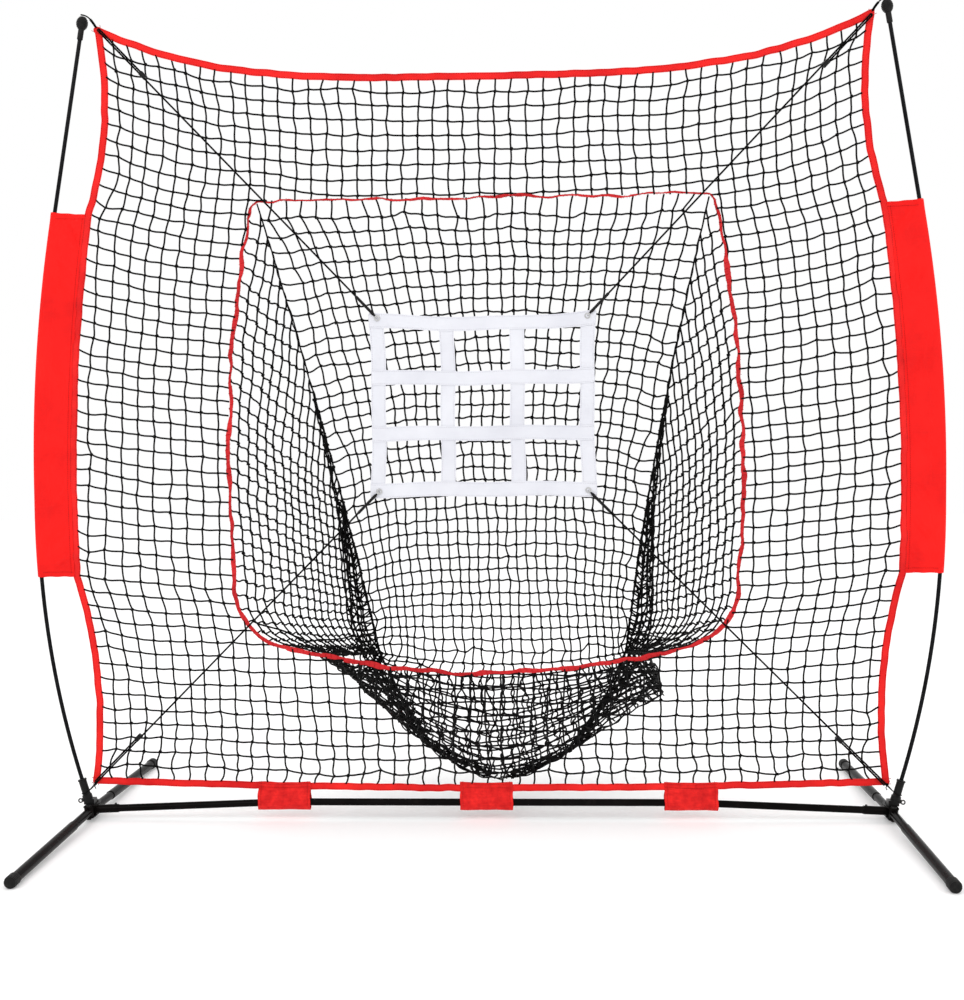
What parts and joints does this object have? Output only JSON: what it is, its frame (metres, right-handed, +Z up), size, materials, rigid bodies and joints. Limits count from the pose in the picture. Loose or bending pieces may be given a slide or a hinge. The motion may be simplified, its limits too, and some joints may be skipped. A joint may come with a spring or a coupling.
{
  "type": "pitching target net",
  "caption": "Bow-frame ball-catching net with a webbing border, a pocket behind its mouth, a strap strike-zone target on elastic cords, and a base whose legs fold.",
  "frame": {"origin": "floor level, centre of the object's outline", "axes": "+X along the net's width, +Y towards the pocket at the back, +Z up"},
  "size_m": [2.4042, 1.2102, 2.1374],
  "materials": {
    "black_steel": "black powder coat on steel tube",
    "black_fibreglass": "black pultruded fibreglass rod",
    "black_rubber": "ribbed moulded rubber",
    "black_plastic": "moulded nylon",
    "bright_steel": "dark zinc-plated steel",
    "black_netting": "knotted polyethylene twine, square mesh",
    "red_webbing": "woven polyester webbing, folded and stitched",
    "red_fabric": "coated woven polyester",
    "red_binding": "gathered binding tape",
    "white_strap": "white vinyl-coated strap",
    "white_metal": "white enamelled wire",
    "black_elastic": "braided elastic cord"
  },
  "bodies": {
    "root": {"crossbar_left": "black_steel", "crossbar_centre": "black_steel", "crossbar_right": "black_steel", "crossbar_couplings": "black_steel", "hub_left": "black_steel", "hub_right": "black_steel", "leg_pivot_bolts": "bright_steel", "button_spring_left": "bright_steel", "pole_socket_left": "black_plastic", "pole_lower_left": "black_fibreglass", "pole_middle_left": "black_fibreglass", "pole_upper_left": "black_fibreglass", "pole_sleeve_left": "red_fabric", "border_left": "red_webbing", "pocket_side_left": "black_netting", "button_spring_right": "bright_steel", "pole_socket_right": "black_plastic", "pole_lower_right": "black_fibreglass", "pole_middle_right": "black_fibreglass", "pole_upper_right": "black_fibreglass", "pole_sleeve_right": "red_fabric", "border_right": "red_webbing", "pocket_side_right": "black_netting", "pole_ferrules": "bright_steel", "tip_caps": "black_rubber", "border_top": "red_webbing", "border_bottom": "red_webbing", "front_net": "black_netting", "mouth_binding": "red_binding", "crossbar_tabs": "red_fabric", "pocket_back": "black_netting", "pocket_belly_back": "black_netting", "pocket_belly_front": "black_netting", "elastic_cord_upper_left": "black_elastic", "elastic_cord_upper_right": "black_elastic", "elastic_cord_lower_left": "black_elastic", "elastic_cord_lower_right": "black_elastic", "cord_crimps": "black_plastic", "corner_loops": "black_elastic", "corner_ties": "black_elastic"},
    "leg_front_left": {"leg_stub_front_left": "black_steel", "leg_tube_front_left": "black_steel", "foot_cap_front_left": "black_rubber"},
    "leg_rear_left": {"leg_stub_rear_left": "black_steel", "leg_tube_rear_left": "black_steel", "foot_cap_rear_left": "black_rubber"},
    "leg_front_right": {"leg_stub_front_right": "black_steel", "leg_tube_front_right": "black_steel", "foot_cap_front_right": "black_rubber"},
    "leg_rear_right": {"leg_stub_rear_right": "black_steel", "leg_tube_rear_right": "black_steel", "foot_cap_rear_right": "black_rubber"},
    "button_left": {"snap_button_left": "bright_steel"},
    "screw_left": {"clamp_screw_left": "bright_steel"},
    "button_right": {"snap_button_right": "bright_steel"},
    "screw_right": {"clamp_screw_right": "bright_steel"},
    "target": {"strike_zone_grid": "white_strap", "target_grommets": "white_metal", "target_hooks": "white_metal"}
  },
  "joints": [
    {"name": "leg_fold_front_left", "type": "hinge", "parent": "root", "child": "leg_front_left", "pos_m": [-1.063, -0.031, 0.026], "axis": [0, 0, 1], "range_deg": [0, 90]},
    {"name": "leg_fold_rear_left", "type": "hinge", "parent": "root", "child": "leg_rear_left", "pos_m": [-1.063, 0.031, 0.026], "axis": [0, 0, -1], "range_deg": [0, 90]},
    {"name": "leg_fold_front_right", "type": "hinge", "parent": "root", "child": "leg_front_right", "pos_m": [1.063, -0.031, 0.026], "axis": [0, 0, -1], "range_deg": [0, 90]},
    {"name": "leg_fold_rear_right", "type": "hinge", "parent": "root", "child": "leg_rear_right", "pos_m": [1.063, 0.031, 0.026], "axis": [0, 0, 1], "range_deg": [0, 90]},
    {"name": "button_press_left", "type": "slide", "parent": "root", "child": "button_left", "axis": [0, 0, -1], "range_m": [0, 0.003], "stiffness_N_per_m": 600, "springref_m": -0.004, "deforming": ["button_spring_left"]},
    {"name": "screw_turn_left", "type": "hinge", "parent": "root", "child": "screw_left", "pos_m": [-1.07438, 0, 0.05526], "axis": [-0.9588, 0, -0.284], "continuous": true},
    {"name": "button_press_right", "type": "slide", "parent": "root", "child": "button_right", "axis": [0, 0, -1], "range_m": [0, 0.003], "stiffness_N_per_m": 600, "springref_m": -0.004, "deforming": ["button_spring_right"]},
    {"name": "screw_turn_right", "type": "hinge", "parent": "root", "child": "screw_right", "pos_m": [1.07438, 0, 0.05526], "axis": [0.9588, 0, -0.284], "continuous": true},
    {"name": "target_sway", "type": "slide", "parent": "root", "child": "target", "axis": [0, 1, 0], "range_m": [-0.06, 0.03], "stiffness_N_per_m": 60}
  ]
}
